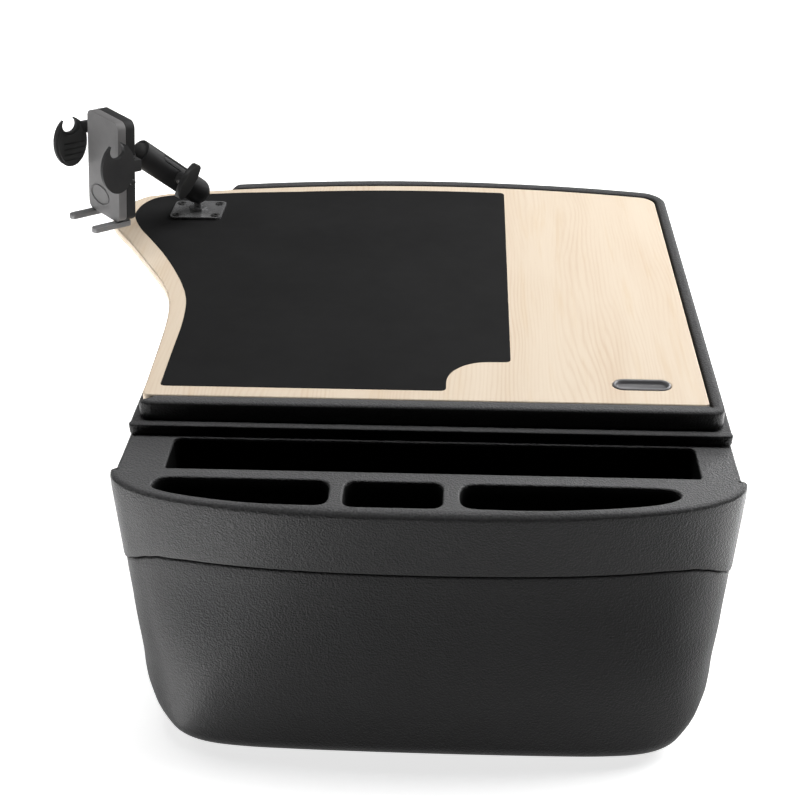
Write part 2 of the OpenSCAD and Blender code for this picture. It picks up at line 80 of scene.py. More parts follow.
def catmull(pts, n, closed=False):
    """A smooth curve through the points, n steps to each span."""
    out = []
    m = len(pts)
    rng = range(m) if closed else range(1, m - 2)
    for i in rng:
        a, b, c, d = (pts[(i - 1) % m], pts[i % m], pts[(i + 1) % m], pts[(i + 2) % m])
        for k in range(n):
            t = k / n
            out.append(tuple(0.5 * (2 * b[j] + (c[j] - a[j]) * t
                                    + (2 * a[j] - 5 * b[j] + 4 * c[j] - d[j]) * t * t
                                    + (3 * b[j] - a[j] - 3 * c[j] + d[j]) * t ** 3) for j in range(2)))
    return out


def quarter(k, n):
    """Angle of step k out of n in a quarter turn, in radians."""
    return math.radians(90 * k / n)


def arc(cx, cy, r, a0, a1, n):
    """Points on a circle from angle a0 to a1, in degrees."""
    return [(cx + r * math.cos(math.radians(a0 + (a1 - a0) * i / n)),
             cy + r * math.sin(math.radians(a0 + (a1 - a0) * i / n))) for i in range(n + 1)]


def resample(loop, step):
    """Evenly spaced points on a closed loop."""
    pts = list(loop) + [loop[0]]
    lens = [0.0]
    for p, q in zip(pts, pts[1:]):
        lens.append(lens[-1] + math.dist(p, q))
    total = lens[-1]
    n = max(8, int(round(total / step)))
    out = []
    j = 0
    for i in range(n):
        s = total * i / n
        while lens[j + 1] < s:
            j += 1
        t = (s - lens[j]) / max(1e-9, lens[j + 1] - lens[j])
        out.append((lerp(pts[j][0], pts[j + 1][0], t), lerp(pts[j][1], pts[j + 1][1], t)))
    return out


def area(loop):
    return 0.5 * sum(p[0] * q[1] - q[0] * p[1] for p, q in zip(loop, loop[1:] + loop[:1]))


def ccw(loop):
    return loop if area(loop) > 0 else loop[::-1]


def normals(loop):
    """Outward normals of a counter-clockwise loop, with the mitre factor."""
    out = []
    n = len(loop)
    for i in range(n):
        p, q, r = loop[i - 1], loop[i], loop[(i + 1) % n]
        e1 = Vector((q[0] - p[0], q[1] - p[1])).normalized()
        e2 = Vector((r[0] - q[0], r[1] - q[1])).normalized()
        n1, n2 = Vector((e1.y, -e1.x)), Vector((e2.y, -e2.x))
        s = n1 + n2
        if s.length < 1e-6:
            s = n1
        s.normalize()
        out.append((s, 1 / max(0.5, s.dot(n1))))
    return out


def offset(loop, d):
    """Grow a counter-clockwise loop by d (negative shrinks)."""
    return [(p[0] + nn.x * d * k, p[1] + nn.y * d * k) for p, (nn, k) in zip(loop, normals(loop))]


def rrect(x0, y0, x1, y1, r, n=6):
    """A rectangle with round corners, n steps to each corner."""
    return (arc(x0 + r, y0 + r, r, 180, 270, n) + arc(x1 - r, y0 + r, r, 270, 360, n)
            + arc(x1 - r, y1 - r, r, 0, 90, n) + arc(x0 + r, y1 - r, r, 90, 180, n))


def slot_loop(x0, x1, y, w):
    """A straight slot of width w with round ends."""
    r = w / 2
    return arc(x1 - r, y, r, -90, 90, 10) + arc(x0 + r, y, r, 90, 270, 10)


# ------------------------------------------------------------------ mesh building
class Build:
    """Points in millimetres and faces, gathered for one piece."""

    def __init__(self):
        self.v = []
        self.f = []

    def ring(self, pts):
        base = len(self.v)
        self.v.extend(pts)
        return list(range(base, base + len(pts)))

    def skin(self, rings, flip=False):
        """Join each ring to the next with quads."""
        for a, b in zip(rings, rings[1:]):
            n = len(a)
            for i in range(n):
                j = (i + 1) % n
                q = [a[i], a[j], b[j], b[i]]
                self.f.append(q[::-1] if flip else q)

    def cap(self, ring, flip=False):
        """Close one ring, facing up, or down when flipped."""
        pts = [Vector(self.v[i]) for i in ring]
        for t in tessellate_polygon([pts]):
            q = [ring[i] for i in t]
            a, b, c = (Vector(self.v[i]) for i in q)
            if ((b - a).cross(c - a).z < 0) != flip:
                q = q[::-1]
            self.f.append(q)

    def sheet(self, loops, up=True):
        """Fill between an outer ring and hole rings, all at one height."""
        idx = [i for loop in loops for i in loop]
        polys = [[Vector(self.v[i]) for i in loop] for loop in loops]
        for t in tessellate_polygon(polys):
            q = [idx[i] for i in t]
            a, b, c = (Vector(self.v[i]) for i in q)
            if ((b - a).cross(c - a).z > 0) != up:
                q = q[::-1]
            self.f.append(q)

    def plate(self, outer, holes, z0, z1, rt, rb, seg=4, sup=0.5):
        """A flat plate whose outline and holes have rims of radius rt above and rb below."""
        loops = [ccw(list(outer))] + [ccw(list(h)) for h in holes]
        tops, bots = [], []
        for k, loop in enumerate(loops):
            s = -1 if k == 0 else 1
            prof = [(rt + sup, z1), (rt, z1)]
            for i in range(1, seg + 1):
                a = quarter(i, seg)
                prof.append((rt * (1 - math.sin(a)), z1 - rt * (1 - math.cos(a))))
            for i in range(3):
                a = quarter(i, 2)
                prof.append((rb * (1 - math.cos(a)), z0 + rb * (1 - math.sin(a))))
            prof.append((rb + sup, z0))
            rings = [self.ring([(x, y, z) for x, y in offset(loop, s * d)]) for d, z in prof]
            self.skin(rings, flip=(k == 0))
            tops.append(rings[0])
            bots.append(rings[-1])
        self.sheet(tops, up=True)
        self.sheet(bots, up=False)

    def mesh(self, name, M=None):
        """The gathered points and faces as a mesh in metres, moved by M."""
        me = bpy.data.meshes.new(name)
        me.from_pydata([tuple(c * MM for c in (M @ Vector(p) if M else p)) for p in self.v], [], self.f)
        return me


def show(name, me, mat):
    """A new object for a mesh, with its material."""
    o = bpy.data.objects.new(name, me)
    coll.objects.link(o)
    me.materials.append(mat)
    return o


def make(name, b, mat, body, replaces=(), sharp=50, M=None):
    """Turn a Build into a visible piece that rides on a body."""
    me = b.mesh(name, M)
    me.update()
    bm = bmesh.new()
    bm.from_mesh(me)
    bmesh.ops.remove_doubles(bm, verts=bm.verts, dist=WELD * MM)
    bmesh.ops.dissolve_degenerate(bm, dist=1e-7, edges=bm.edges)
    bm.to_mesh(me)
    bm.free()
    for p in me.polygons:
        p.use_smooth = True
    me.set_sharp_from_angle(angle=math.radians(sharp))
    o = show(name, me, mat)
    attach(o, body)
    if replaces:
        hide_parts(*replaces)


def soften(node, name, mat, body, width):
    """A copy of a CAD node with its sharp edges rounded, standing for that node."""
    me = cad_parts[node].data.copy()
    me.name = name
    bm = bmesh.new()
    bm.from_mesh(me)
    bmesh.ops.remove_doubles(bm, verts=bm.verts, dist=0.00002)
    bmesh.ops.dissolve_limit(bm, angle_limit=math.radians(1.0), verts=bm.verts, edges=bm.edges)
    bm.to_mesh(me)
    bm.free()
    me.materials.clear()
    o = show(name, me, mat)
    m = o.modifiers.new("edge", "BEVEL")
    m.width = width * MM
    m.segments = 3
    m.limit_method = "ANGLE"
    m.angle_limit = math.radians(40)
    m.use_clamp_overlap = True
    m.harden_normals = False
    dg = bpy.context.evaluated_depsgraph_get()
    done = bpy.data.meshes.new_from_object(o.evaluated_get(dg))
    o.modifiers.clear()
    o.data = done
    for p in done.polygons:
        p.use_smooth = True
    done.set_sharp_from_angle(angle=math.radians(32))
    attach(o, body)
    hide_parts(node)


# ------------------------------------------------------------------ materials
class Mat:
    """One node material and short ways to add nodes to it."""

    def __init__(self, name, rough, metallic=0.0, spec=0.5, coat=0.0):
        self.m = bpy.data.materials.new(name)
        self.m.use_nodes = True
        self.n = self.m.node_tree.nodes
        self.l = self.m.node_tree.links
        self.b = next(x for x in self.n if x.type == "BSDF_PRINCIPLED")
        self.b.inputs["Roughness"].default_value = rough
        self.b.inputs["Metallic"].default_value = metallic
        self.b.inputs["Specular IOR Level"].default_value = spec
        self.b.inputs["Coat Weight"].default_value = coat
        self.tc = self.n.new("ShaderNodeTexCoord")

    def coords(self, scale):
        mp = self.n.new("ShaderNodeMapping")
        mp.inputs["Scale"].default_value = scale
        self.l.new(self.tc.outputs["Object"], mp.inputs["Vector"])
        return mp.outputs["Vector"]

    def noise(self, scale, detail, rough=0.55, dist=0.0, stretch=None):
        t = self.n.new("ShaderNodeTexNoise")
        t.inputs["Scale"].default_value = scale
        t.inputs["Detail"].default_value = detail
        t.inputs["Roughness"].default_value = rough
        t.inputs["Distortion"].default_value = dist
        self.l.new(self.coords(stretch) if stretch else self.tc.outputs["Object"], t.inputs["Vector"])
        return t.outputs["Fac"]

    def voronoi(self, scale, feature="F1", smooth=0.5):
        t = self.n.new("ShaderNodeTexVoronoi")
        t.feature = feature
        t.inputs["Scale"].default_value = scale
        if feature == "SMOOTH_F1":
            t.inputs["Smoothness"].default_value = smooth
        self.l.new(self.tc.outputs["Object"], t.inputs["Vector"])
        return t.outputs["Distance"]

    def axes(self, out):
        """The X, Y and Z of a vector."""
        t = self.n.new("ShaderNodeSeparateXYZ")
        self.l.new(out, t.inputs[0])
        return t.outputs["X"], t.outputs["Y"], t.outputs["Z"]

    def math(self, op, a, b=None, clamped=False):
        t = self.n.new("ShaderNodeMath")
        t.operation = op
        t.use_clamp = clamped
        for i, s in enumerate((a, b)):
            if s is None:
                continue
            if isinstance(s, (int, float)):
                t.inputs[i].default_value = s
            else:
                self.l.new(s, t.inputs[i])
        return t.outputs[0]

    def ramp(self, fac, stops):
        t = self.n.new("ShaderNodeValToRGB")
        while len(t.color_ramp.elements) < len(stops):
            t.color_ramp.elements.new(0.5)
        for e, (p, c) in zip(t.color_ramp.elements, stops):
            e.position = p
            e.color = (*c, 1)
        self.l.new(fac, t.inputs["Fac"])
        return t.outputs["Color"]

    def mask(self, fac, lo, hi):
        """0 below lo, 1 above hi."""
        return self.ramp(fac, [(lo, (0.0, 0.0, 0.0)), (hi, (1.0, 1.0, 1.0))])

    def mix(self, fac, a, b):
        t = self.n.new("ShaderNodeMix")
        t.data_type = "RGBA"
        socks = [s for s in t.inputs if s.enabled]
        for s, val in zip(socks, (fac, a, b)):
            if isinstance(val, tuple):
                s.default_value = (*val, 1)
            else:
                self.l.new(val, s)
        return [s for s in t.outputs if s.enabled][0]

    def rng(self, fac, a, b):
        t = self.n.new("ShaderNodeMapRange")
        t.inputs["To Min"].default_value = a
        t.inputs["To Max"].default_value = b
        self.l.new(fac, t.inputs["Value"])
        return t.outputs["Result"]

    def bump(self, height, dist, strength):
        t = self.n.new("ShaderNodeBump")
        t.inputs["Distance"].default_value = dist
        t.inputs["Strength"].default_value = strength
        self.l.new(height, t.inputs["Height"])
        return t.outputs["Normal"]

    def put(self, sock, out):
        self.l.new(out, self.b.inputs[sock])


GRAIN_CELLS = 680       # grain cells to the metre
GRAIN_DEPTH = 0.0006    # metres


def grain_plastic(name, dark, light, rough, spec, top_light_tone=None):
    """Moulded plastic with a fine leather grain, optionally paler where it faces up: painted light on its tops."""
    k = Mat(name, rough=rough, spec=spec, coat=0.06)
    k.b.inputs["Coat Roughness"].default_value = 0.28
    warp = k.noise(90, 3)
    big = k.noise(9, 3)
    fine = k.noise(2200, 2, 0.6)
    cells = k.voronoi(GRAIN_CELLS, "SMOOTH_F1", smooth=0.55)
    cells2 = k.voronoi(GRAIN_CELLS * 1.9)
    h = k.math("ADD", cells, k.math("MULTIPLY", cells2, 0.45))
    h = k.math("ADD", h, k.math("MULTIPLY", warp, 0.35))
    h = k.math("ADD", h, k.math("MULTIPLY", fine, 0.25))
    col = k.ramp(k.math("ADD", k.math("MULTIPLY", big, 0.6), k.math("MULTIPLY", cells, 0.7)),
                 [(0.15, dark), (0.85, light)])
    if top_light_tone:
        # painted light: faces pointing up take the paler top tone, the others keep the dark tone as painted shade
        geo = k.n.new("ShaderNodeNewGeometry")
        _, _, nz = k.axes(geo.outputs["Normal"])
        up = k.math("SUBTRACT", k.math("MULTIPLY", nz, 1.6), 0.6, clamped=True)
        col = k.mix(up, col, k.ramp(cells, [(0.15, top_light_tone[0]), (0.85, top_light_tone[1])]))
    k.put("Base Color", col)
    k.put("Roughness", k.rng(k.noise(24, 4), rough - 0.05, rough + 0.07))
    k.put("Normal", k.bump(h, GRAIN_DEPTH, 0.9))
    return k.m


def satin_plastic(name, dark, light, rough, spec=0.5, depth=0.00004):
    """Smooth moulded plastic with a faint mottle."""
    k = Mat(name, rough=rough, spec=spec)
    k.put("Base Color", k.ramp(k.noise(30, 4), [(0.3, dark), (0.75, light)]))
    k.put("Roughness", k.rng(k.noise(140, 3), rough - 0.05, rough + 0.08))
    k.put("Normal", k.bump(k.noise(1500, 3), depth, 0.7))
    return k.m


def metal(name, dark, light, rough, metallic=1.0):
    """Plain or painted metal with a faint brushed grain."""
    k = Mat(name, rough=rough, metallic=metallic)
    n = k.noise(260, 3, stretch=(1, 14, 1))
    k.put("Base Color", k.ramp(n, [(0.3, dark), (0.7, light)]))
    k.put("Roughness", k.rng(k.noise(90, 4), rough - 0.06, rough + 0.1))
    k.put("Normal", k.bump(n, 0.00002, 0.6))
    return k.m


def wood_mat():
    """Pale veneer whose rings wander along the board."""
    k = Mat("birch_veneer", rough=0.55, spec=0.22, coat=0.03)
    k.b.inputs["Coat Roughness"].default_value = 0.4
    x, y, _ = k.axes(k.tc.outputs["Object"])
    # growth-ring figure: fine lines along the board that wander into long narrow arches
    sway = k.noise(1.0, 2, 0.45, stretch=(15, 2.6, 1))
    ripple = k.noise(1.0, 3, 0.55, stretch=(70, 9, 1))
    wander = k.math("ADD", k.math("MULTIPLY", sway, 0.052), k.math("MULTIPLY", ripple, 0.005))
    across = k.math("ADD", x, wander)
    across = k.math("ADD", across, k.math("MULTIPLY", y, 0.02))
    ring = k.math("ADD", k.math("MULTIPLY", k.math("SINE", k.math("MULTIPLY", across, 1750.0)), 0.5), 0.5)
    line = k.math("POWER", ring, 2.2)
    zone = k.ramp(k.noise(1.0, 3, 0.5, stretch=(24, 5, 1)),
                  [(0.36, (0.1, 0.1, 0.1)), (0.66, (1.0, 1.0, 1.0))])
    soft = k.noise(1.0, 3, 0.5, stretch=(34, 3.0, 1))
    fibre = k.noise(170, 3, 0.6, stretch=(3.5, 0.10, 3.5))
    fleck = k.noise(420, 2, 0.5, stretch=(2.2, 0.16, 2.2))
    f = k.math("ADD", k.math("MULTIPLY", k.math("MULTIPLY", line, zone), -0.17), k.math("MULTIPLY", soft, 0.50))
    f = k.math("ADD", k.math("ADD", f, k.math("MULTIPLY", fibre, 0.22)), 0.14)
    col = k.ramp(f, [(0.24, (0.565, 0.440, 0.322)), (0.48, (0.632, 0.530, 0.414)),
                     (0.74, (0.676, 0.580, 0.468))])
    streak = k.mask(k.noise(1.0, 3, 0.6, dist=0.4, stretch=(110, 7, 1)), 0.56, 0.74)
    col = k.mix(k.math("MULTIPLY", streak, 0.30), col, (0.56, 0.405, 0.235))
    dark = k.mask(fleck, 0.60, 0.76)
    col = k.mix(k.math("MULTIPLY", dark, 0.16), col, (0.56, 0.43, 0.30))
    k.put("Base Color", col)
    k.put("Roughness", k.rng(fibre, 0.52, 0.64))
    k.put("Normal", k.bump(fibre, 0.00003, 0.5))
    return k.m


def mat_sheet():
    """The writing mat's matt, finely pebbled surface."""
    k = Mat("mat_surface", rough=0.85, spec=0.10)
    v = k.voronoi(900, "SMOOTH_F1")
    n = k.noise(1400, 3)
    h = k.math("ADD", v, k.math("MULTIPLY", n, 0.6))
    k.put("Base Color", k.ramp(k.noise(14, 4), [(0.3, (0.0078, 0.0078, 0.0080)),
                                                (0.75, (0.0108, 0.0108, 0.0110))]))
    k.put("Roughness", k.rng(k.noise(60, 4), 0.78, 0.90))
    k.put("Normal", k.bump(h, 0.00006, 0.6))
    return k.m


def rubber():
    k = Mat("rubber_black", rough=0.75, spec=0.3)
    k.put("Base Color", k.ramp(k.noise(50, 4), [(0.3, (0.010, 0.010, 0.010)), (0.8, (0.018, 0.018, 0.018))]))
    k.put("Roughness", k.rng(k.noise(300, 3), 0.68, 0.85))
    k.put("Normal", k.bump(k.noise(2500, 3), 0.00005, 0.8))
    return k.m


TOP_TONE = ((0.062, 0.062, 0.063), (0.094, 0.094, 0.096))    # plastic seen from above; on the collar and edges it is painted light on their upward faces
# painted shade: the tub's walls get a far darker tone than the deck's same plastic
TUB = grain_plastic("tub_grain", (0.0055, 0.0055, 0.0057), (0.0098, 0.0098, 0.0101), 0.46, 0.10)
# painted shade on the collar's walls, with painted light where it faces up
COLLAR = grain_plastic("collar_grain", (0.0070, 0.0070, 0.0072), (0.0122, 0.0122, 0.0125), 0.46, 0.12,
                       top_light_tone=TOP_TONE)
DECK = grain_plastic("deck_grain", *TOP_TONE, 0.44, 0.2)
# painted shade: near-black fronts of the lid and tray, with painted light where they face up
EDGE = grain_plastic("edge_grain", (0.0030, 0.0030, 0.0031), (0.0055, 0.0055, 0.0057), 0.50, 0.08,
                     top_light_tone=TOP_TONE)
CUPS = satin_plastic("cup_plastic", (0.0035, 0.0035, 0.0035), (0.006, 0.006, 0.006), 0.5, 0.2)
WOOD = wood_mat()
MATM = mat_sheet()
RUB = rubber()
ARMM = satin_plastic("arm_composite", (0.009, 0.009, 0.0093), (0.015, 0.015, 0.0155), 0.48, 0.15, 0.00005)
CRADLE = satin_plastic("cradle_plastic", (0.120, 0.118, 0.118), (0.150, 0.147, 0.147), 0.40, 0.3)
CLAW = satin_plastic("claw_plastic", (0.020, 0.020, 0.0205), (0.028, 0.028, 0.0285), 0.55, 0.18)
LEG = satin_plastic("leg_plastic", (0.15, 0.15, 0.152), (0.20, 0.20, 0.202), 0.36)
KNOB = satin_plastic("knob_plastic", (0.016, 0.016, 0.016), (0.024, 0.024, 0.024), 0.34)
TRIM = satin_plastic("trim_plastic", (0.12, 0.12, 0.125), (0.155, 0.155, 0.16), 0.34)
PLATE = metal("plate_black", (0.13, 0.13, 0.133), (0.18, 0.18, 0.183), 0.24, 0.55)
BLACKSCREW = metal("screw_black", (0.010, 0.010, 0.010), (0.020, 0.020, 0.020), 0.30, 0.2)
STEEL = metal("steel_plain", (0.42, 0.42, 0.43), (0.60, 0.60, 0.61), 0.28)
HINGE = metal("hinge_black", (0.030, 0.030, 0.031), (0.050, 0.050, 0.051), 0.38, 0.5)
SLIDEM = satin_plastic("slide_plastic", (0.62, 0.62, 0.59), (0.72, 0.72, 0.69), 0.35)

# ------------------------------------------------------------------ camera
cam_data = bpy.data.cameras.new("camera")
cam = bpy.data.objects.new("camera", cam_data)
coll.objects.link(cam)
cam_data.sensor_width = 36
cam_data.lens = 66.6
CAM_PLACE = (0.026714, -1.143145, 0.804719)             # metres
CAM_TURN, CAM_DOWN, CAM_ROLL = 2.84, 29.27, -0.28       # degrees
cam.matrix_world = (Matrix.Translation(CAM_PLACE)
                    @ Matrix.Rotation(math.radians(CAM_TURN), 4, "Z")
                    @ Matrix.Rotation(math.radians(90 - CAM_DOWN), 4, "X")
                    @ Matrix.Rotation(math.radians(CAM_ROLL), 4, "Z"))
scene.camera = cam
scene.view_settings.view_transform = "Standard"

# ------------------------------------------------------------------ base outline
# the right half of the bowed front, seen from above: at the lip, then at the tub's belly
NOSE_TOP = [(42, -278.0), (81, -276.6), (115, -274.2), (150, -270.2), (180, -264.4),
            (203, -256.0), (218, -246.0), (226.6, -235.5), (230, -222)]
NOSE_LOW = [(50, -283.3), (100, -282.6), (140, -281.2), (172, -277.6), (195, -270.5),
            (211, -259.5), (221.5, -246.5), (227.5, -233), (230, -218)]


def plan_loop(nose, tip):
    """The whole outline from its right front half, starting at the tip."""
    right = [(0, tip)] + nose + [(230, -200)]
    pts = [(-x, y) for x, y in right[::-1]][:-1] + right
    curve = catmull([(-230, -185)] + pts + [(230, -185)], 8)
    loop = curve + [(230, -200)] + arc(170, 230, 60, 0, 90, 14) + arc(-170, 230, 60, 90, 180, 14)
    k = min(range(len(loop)), key=lambda m: math.dist(loop[m], (0, tip)))
    return ccw(loop[k:] + loop[:k])


TOP = resample(plan_loop(NOSE_TOP, -278.4), 4.6)
belly = plan_loop(NOSE_LOW, -283.5)
LOW = resample(belly, sum(math.dist(p, q) for p, q in zip(belly, belly[1:] + belly[:1])) / len(TOP))
ID = range(len(TOP))        # TOP and LOW have the same number of points
TOP_N = [nn for nn, _ in normals(TOP)]
LOW_N = [nn for nn, _ in normals(LOW)]
# height of the seam under the collar by distance from the middle
STEP_Z = [(0, 172.6), (120, 172.8), (172, 173.0), (196, 171.0), (208, 167.0), (218, 161), (228, 153.5),
          (240, 151.5)]
# how far the side and rear walls lean in, by height
SIDE_IN = [(0, 7.2), (66, 6.8), (110, 3.4), (152, 1.2), (190, 0.0), (230, 0.0)]
REAR_IN = [(0, 8.0), (60, 7.5), (150, 3.5), (230, 0.0)]


def low_mix(z):
    """0 at the lip's outline, 1 at the belly's."""
    return smooth01((180 - z) / 110)


def wall(i, z, extra=0.0):
    """Point on the tub's outer face at height z, moved in by extra."""
    t = low_mix(z)
    p = (lerp(TOP[i][0], LOW[i][0], t), lerp(TOP[i][1], LOW[i][1], t))
    nn = (TOP_N[i] * (1 - t) + LOW_N[i] * t).normalized()
    face = 2.6 * smooth01((z - 50) / 110) if nn.y < 0 else table(REAR_IN, z)
    ins = table(SIDE_IN, z) * nn.x ** 2 + face * nn.y ** 2
    return (p[0] - nn.x * (ins + extra), p[1] - nn.y * (ins + extra), z)


def step_z(i):
    """Height of the seam between tub and collar."""
    return table(STEP_Z, abs(TOP[i][0]))


def bottom_r(i):
    """Radius of the tub's bottom edge."""
    ny = LOW_N[i].y
    return lerp(62, 17 if ny < 0 else 28, ny * ny)


def at(i, inset, z):
    """Point on the lip's outline, moved in."""
    return (TOP[i][0] - TOP_N[i].x * inset, TOP[i][1] - TOP_N[i].y * inset, z)


FOOT_Z = 1.5        # underside of the tub
WALL = 6.6          # thickness of the tub's wall
TUB_FLOOR = 7       # inside of the tub's floor
TUB_RIM = 220.0     # top of the tub's wall, under the deck

b = Build()
rings = []
for k in range(0, 13):
    a = quarter(k, 12)
    rings.append(b.ring([wall(i, FOOT_Z + bottom_r(i) * (1 - math.cos(a)), bottom_r(i) * (1 - math.sin(a)))
                         for i in ID]))
for k in range(1, 17):
    rings.append(b.ring([wall(i, lerp(FOOT_Z + bottom_r(i), step_z(i) - 2.6, k / 16)) for i in ID]))
for d_in, dz in ((0.15, -1.6), (0.6, -0.75), (1.3, -0.25), (2.6, 0.05)):
    rings.append(b.ring([wall(i, step_z(i) + dz, d_in) for i in ID]))
rings.append(b.ring([at(i, 5.0, TUB_RIM) for i in ID]))
rings.append(b.ring([at(i, 6.4, TUB_RIM) for i in ID]))
for k in range(9, -1, -1):
    rings.append(b.ring([wall(i, lerp(TUB_FLOOR + bottom_r(i), 200, k / 9), WALL) for i in ID]))
for k in range(5, -1, -1):
    a = quarter(k, 6)
    rings.append(b.ring([wall(i, TUB_FLOOR + bottom_r(i) * (1 - math.cos(a)),
                              WALL + bottom_r(i) * (1 - math.sin(a))) for i in ID]))
b.skin(rings)
b.cap(rings[0], flip=True)
b.cap(rings[-1])
make("tub_shell", b, TUB, "base", ["base_tub"])

# ------------------------------------------------------------------ collar
SIDE_OUT = 4.2      # the lip's ends flare out this far
PROUD = 1.5         # the collar's foot stands this far outside the tub
GROOVE = ((5.0, 8.0), (3.2, 2.0), (1.6, 1.1), (0.6, 1.3), (0.15, 1.8), (0.0, 2.8))    # (inset, height)


def lipness(i):
    """1 round the raised lip, 0 along the lower deck."""
    return smooth01((-221.5 - TOP[i][1]) / 4.0)


def lip_in(i, d):
    """Inset d, less the flare of the lip's ends."""
    return d - SIDE_OUT * TOP_N[i].x ** 2 * lipness(i)


def roll_r(i):
    """Radius of the rolled top edge."""
    wide = lerp(6.0, 3.4, smooth01((abs(TOP[i][0]) - 90) / 90))
    return lerp(2.2, wide, lipness(i))


def top_z(i):
    return lerp(DECK_Z, LIP_Z, lipness(i))


def collar(i, z, extra=0.0):
    """Point on the collar's outer face: it stands a little proud of the tub below it."""
    t = clamp((z - step_z(i)) / (216 - step_z(i)))
    x, y, _ = wall(i, step_z(i))
    p = at(i, lip_in(i, extra), z)
    q = (x + TOP_N[i].x * (PROUD - extra), y + TOP_N[i].y * (PROUD - extra))
    return (lerp(q[0], p[0], t), lerp(q[1], p[1], t), z)


b = Build()
rings = [b.ring([collar(i, step_z(i) + dz, d_in) for i in ID]) for d_in, dz in GROOVE]
for k in range(1, 9):
    rings.append(b.ring([collar(i, lerp(step_z(i) + 2.8, top_z(i) - roll_r(i), k / 8)) for i in ID]))
for k in range(1, 11):
    a = quarter(k, 10)
    rings.append(b.ring([collar(i, top_z(i) - roll_r(i) * (1 - math.sin(a)), roll_r(i) * (1 - math.cos(a)))
                         for i in ID]))
rings.append(b.ring([at(i, lip_in(i, roll_r(i) + lerp(0.3, 0.8, lipness(i))), top_z(i) - lerp(0.1, 0, lipness(i)))
                     for i in ID]))
b.skin(rings)
make("collar_shell", b, COLLAR, "base", ["deck_collar"])


# ------------------------------------------------------------------ lip with its pockets, and deck
def smooth_loop(pts):
    """A closed outline through the points."""
    return ccw(catmull(pts, 6, closed=True))


LEFT = smooth_loop([(-199.3, -245.5), (-198.4, -240.0), (-195.0, -236.2), (-189, -234.4), (-178, -234.0),
                    (-150, -234.0), (-110, -234.1), (-82, -234.2), (-75.5, -235.0), (-71.2, -238.2),
                    (-69.4, -244), (-69.2, -252), (-69.4, -259), (-71.2, -264.2), (-75.5, -266.8),
                    (-83, -267.3), (-102, -267.1), (-117, -266.4), (-131, -265.2), (-146, -263.2),
                    (-161, -260.5), (-176, -257.2), (-187, -254.0), (-194.5, -250.8), (-198.2, -248.2)])
RIGHT = smooth_loop([(183.4, -245), (182.4, -241), (179, -238.2), (172, -236.6), (160, -235.9), (130, -235.5),
                     (80, -235.5), (40, -235.7), (31.5, -236.6), (27.2, -239.5), (25.2, -245.5), (24.9, -253),
                     (25.6, -260.5), (28.6, -265.4), (34, -267.6), (44, -268.2), (65, -268.6), (85, -268.2),
                     (100, -267.2), (120, -265.2), (140, -262.6), (155, -260.0), (166, -257.3), (175, -253.8),
                     (180.5, -250.2), (182.8, -247.5)])
MID = rrect(-59, -268.6, 13, -234.6, 8, 8)
SLOT_L, SLOT_R, SLOT_FRONT, SLOT_BACK = -194.5, 201.5, -219.5, -175.2
BAY = rrect(-175, -150, 175, 245, 20, 8)    # the bin's mouth
DECK_FRONT = -226.5                         # hidden under the lip


def clean(loop, step):
    """The loop as evenly spaced points, counter-clockwise."""
    return resample(ccw(loop), step)


b = Build()
nose_pts = sorted([at(i, lip_in(i, roll_r(i) - 1.6), 0)[:2] for i in ID if TOP[i][1] < -222.5], key=lambda p: p[0])
x_end = nose_pts[-1][0]
nose_pts = [p for p in nose_pts if p[1] < LIP_BACK - 3.0 and abs(p[0]) < x_end - 0.4]
lip_outer = nose_pts + [(x_end, LIP_BACK - 2.4), (x_end - 0.6, LIP_BACK), (x_end - 14, LIP_BACK),
                        (14 - x_end, LIP_BACK), (0.6 - x_end, LIP_BACK), (-x_end, LIP_BACK - 2.4)]
b.plate(lip_outer, [clean(LEFT, 2.6), clean(MID, 2.6), clean(RIGHT, 2.6)], 222.0, LIP_Z - 0.02,
        rt=1.5, rb=0.1, seg=5, sup=0.1)
deck_outer = [at(i, 1.0, 0)[:2] for i in ID if TOP[i][1] > -224.0]
deck_outer = [(HALF_W - 1.0, DECK_FRONT)] + deck_outer + [(1.0 - HALF_W, DECK_FRONT)]
front_slot = (arc(SLOT_L + 1.5, SLOT_FRONT + 1.5, 1.5, 180, 270, 3)
              + arc(SLOT_R - 1.5, SLOT_FRONT + 1.5, 1.5, 270, 360, 3)
              + arc(SLOT_R - 4, SLOT_BACK - 4, 4, 0, 90, 6) + arc(SLOT_L + 4, SLOT_BACK - 4, 4, 90, 180, 6))
b.plate(deck_outer, [clean(front_slot, 3), clean(BAY, 6)], 221.9, DECK_Z - 0.03, rt=0.9, rb=0.3, seg=3)
make("deck_shell", b, DECK, "base", ["top_deck", "pen_lip"])

# walls of the front slot going down behind the lip
b = Build()
slot = clean(front_slot, 4)
b.skin([b.ring([(x, y, z) for x, y in offset(slot, d)])
        for d, z in ((0, 222.5), (-0.4, 196), (1.4, 196), (1.4, 222.5))])
make("slot_walls", b, CUPS, "base")

